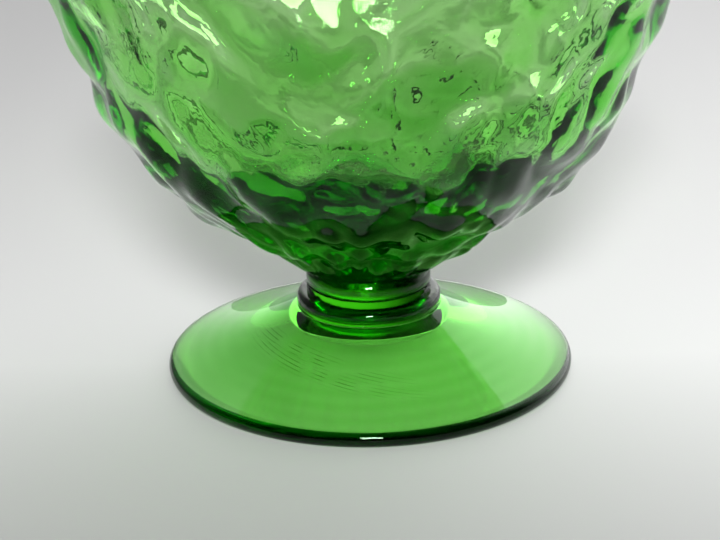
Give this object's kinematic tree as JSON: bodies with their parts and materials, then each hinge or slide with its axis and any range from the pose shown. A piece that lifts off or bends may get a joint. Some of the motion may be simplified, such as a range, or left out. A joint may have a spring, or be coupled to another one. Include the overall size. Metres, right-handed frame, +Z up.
{
  "type": "footed candy dish",
  "caption": "Open footed dish in green glass: a crinkled bowl on a short round stem with a collar and a smooth spun foot, to hold sweets or nuts on a table.",
  "frame": {"origin": "middle of the foot's resting ring, on the table", "axes": "+Z up along the dish's own axis; the dish is round, and -Y faces the picture's camera"},
  "size_m": [0.15, 0.15, 0.116],
  "materials": {
    "bowl_glass": "fire-polished, crinkled outside and smooth inside",
    "stem_glass": "fire-polished, smooth",
    "foot_glass": "fire-polished, smooth, with light wear marks"
  },
  "bodies": {
    "root": {"foot": "foot_glass", "stem_collar": "stem_glass", "stem_post": "stem_glass", "bowl": "bowl_glass"}
  },
  "joints": []
}
